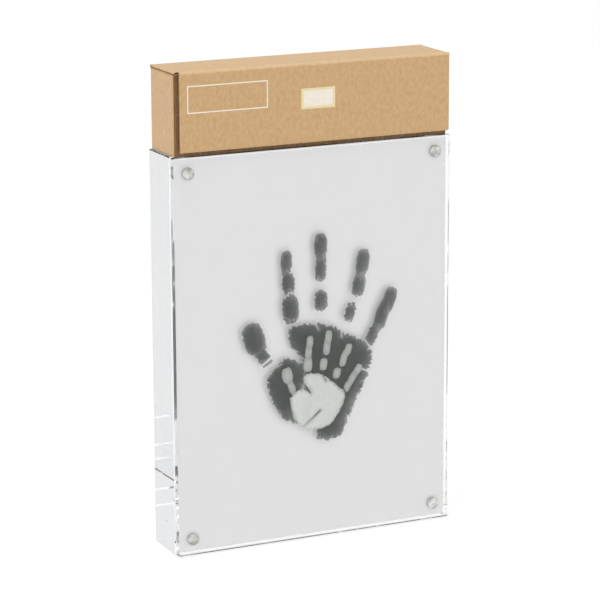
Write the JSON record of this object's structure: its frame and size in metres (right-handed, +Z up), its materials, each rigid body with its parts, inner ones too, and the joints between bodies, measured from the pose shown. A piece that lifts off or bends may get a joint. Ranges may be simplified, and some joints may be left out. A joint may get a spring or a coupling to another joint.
{
  "type": "handprint display frame",
  "caption": "Clear acrylic block frame whose front plate is held by magnets over a white card and carries a painted adult and baby handprint, with the folded kit carton on top.",
  "frame": {"origin": "middle of the acrylic frame's flat foot", "axes": "+Z up, -Y out of the front plate, +X to the right seen from the front"},
  "size_m": [0.1524, 0.032, 0.2453],
  "materials": {
    "acrylic": "polished clear",
    "card": "matt white",
    "magnet_plating": "nickel plated",
    "adult_paint": "dried acrylic paint",
    "baby_paint": "dried acrylic paint",
    "kraft_board": "kraft liner",
    "bottle_plastic": "translucent",
    "cap_plastic": "moulded",
    "handle_wood": "sanded",
    "foam": "open cell foam"
  },
  "bodies": {
    "block": {"rear_block": "acrylic", "rear_magnet_top_left": "magnet_plating", "rear_magnet_top_right": "magnet_plating", "rear_magnet_bottom_left": "magnet_plating", "rear_magnet_bottom_right": "magnet_plating"},
    "plate": {"front_plate": "acrylic", "front_magnet_top_left": "magnet_plating", "front_magnet_top_right": "magnet_plating", "front_magnet_bottom_left": "magnet_plating", "front_magnet_bottom_right": "magnet_plating", "adult_handprint": "adult_paint", "baby_handprint": "baby_paint"},
    "card": {"backing_card": "card"},
    "carton": {"carton_bottom": "kraft_board", "carton_left_end": "kraft_board", "carton_right_end": "kraft_board", "carton_front_wall": "kraft_board", "carton_back_wall": "kraft_board", "paint_bottle_dark": "bottle_plastic", "paint_fill_dark": "adult_paint", "paint_bottle_light": "bottle_plastic", "paint_fill_light": "baby_paint", "brush_foam": "foam", "brush_handle": "handle_wood"},
    "lid": {"carton_lid": "kraft_board"},
    "flap": {"carton_front_flap": "kraft_board"},
    "dark_cap": {"paint_cap_dark": "cap_plastic"},
    "light_cap": {"paint_cap_light": "cap_plastic"}
  },
  "joints": [
    {"name": "plate_pull", "type": "slide", "parent": "block", "child": "plate", "axis": [0, -1, 0], "range_m": [0, 0.08]},
    {"name": "card_slide", "type": "slide", "parent": "block", "child": "card", "axis": [1, 0, 0], "range_m": [-0.155, 0.155]},
    {"name": "carton_lift", "type": "slide", "parent": "block", "child": "carton", "axis": [0, 0, 1], "range_m": [0, 0.08]},
    {"name": "lid_fold", "type": "hinge", "parent": "carton", "child": "lid", "pos_m": [0, 0.01562, 0.2453], "axis": [-1, 0, 0], "range_deg": [0, 110]},
    {"name": "flap_fold", "type": "hinge", "parent": "lid", "child": "flap", "pos_m": [0, -0.01588, 0.2453], "axis": [-1, 0, 0], "range_deg": [0, 90]},
    {"name": "dark_cap_turn", "type": "hinge", "parent": "carton", "child": "dark_cap", "pos_m": [-0.013, 0.00142, 0.2159], "axis": [1, 0, 0], "range_deg": [0, 540]},
    {"name": "light_cap_turn", "type": "hinge", "parent": "carton", "child": "light_cap", "pos_m": [0.0538, 0.00142, 0.2159], "axis": [1, 0, 0], "range_deg": [0, 540]}
  ]
}
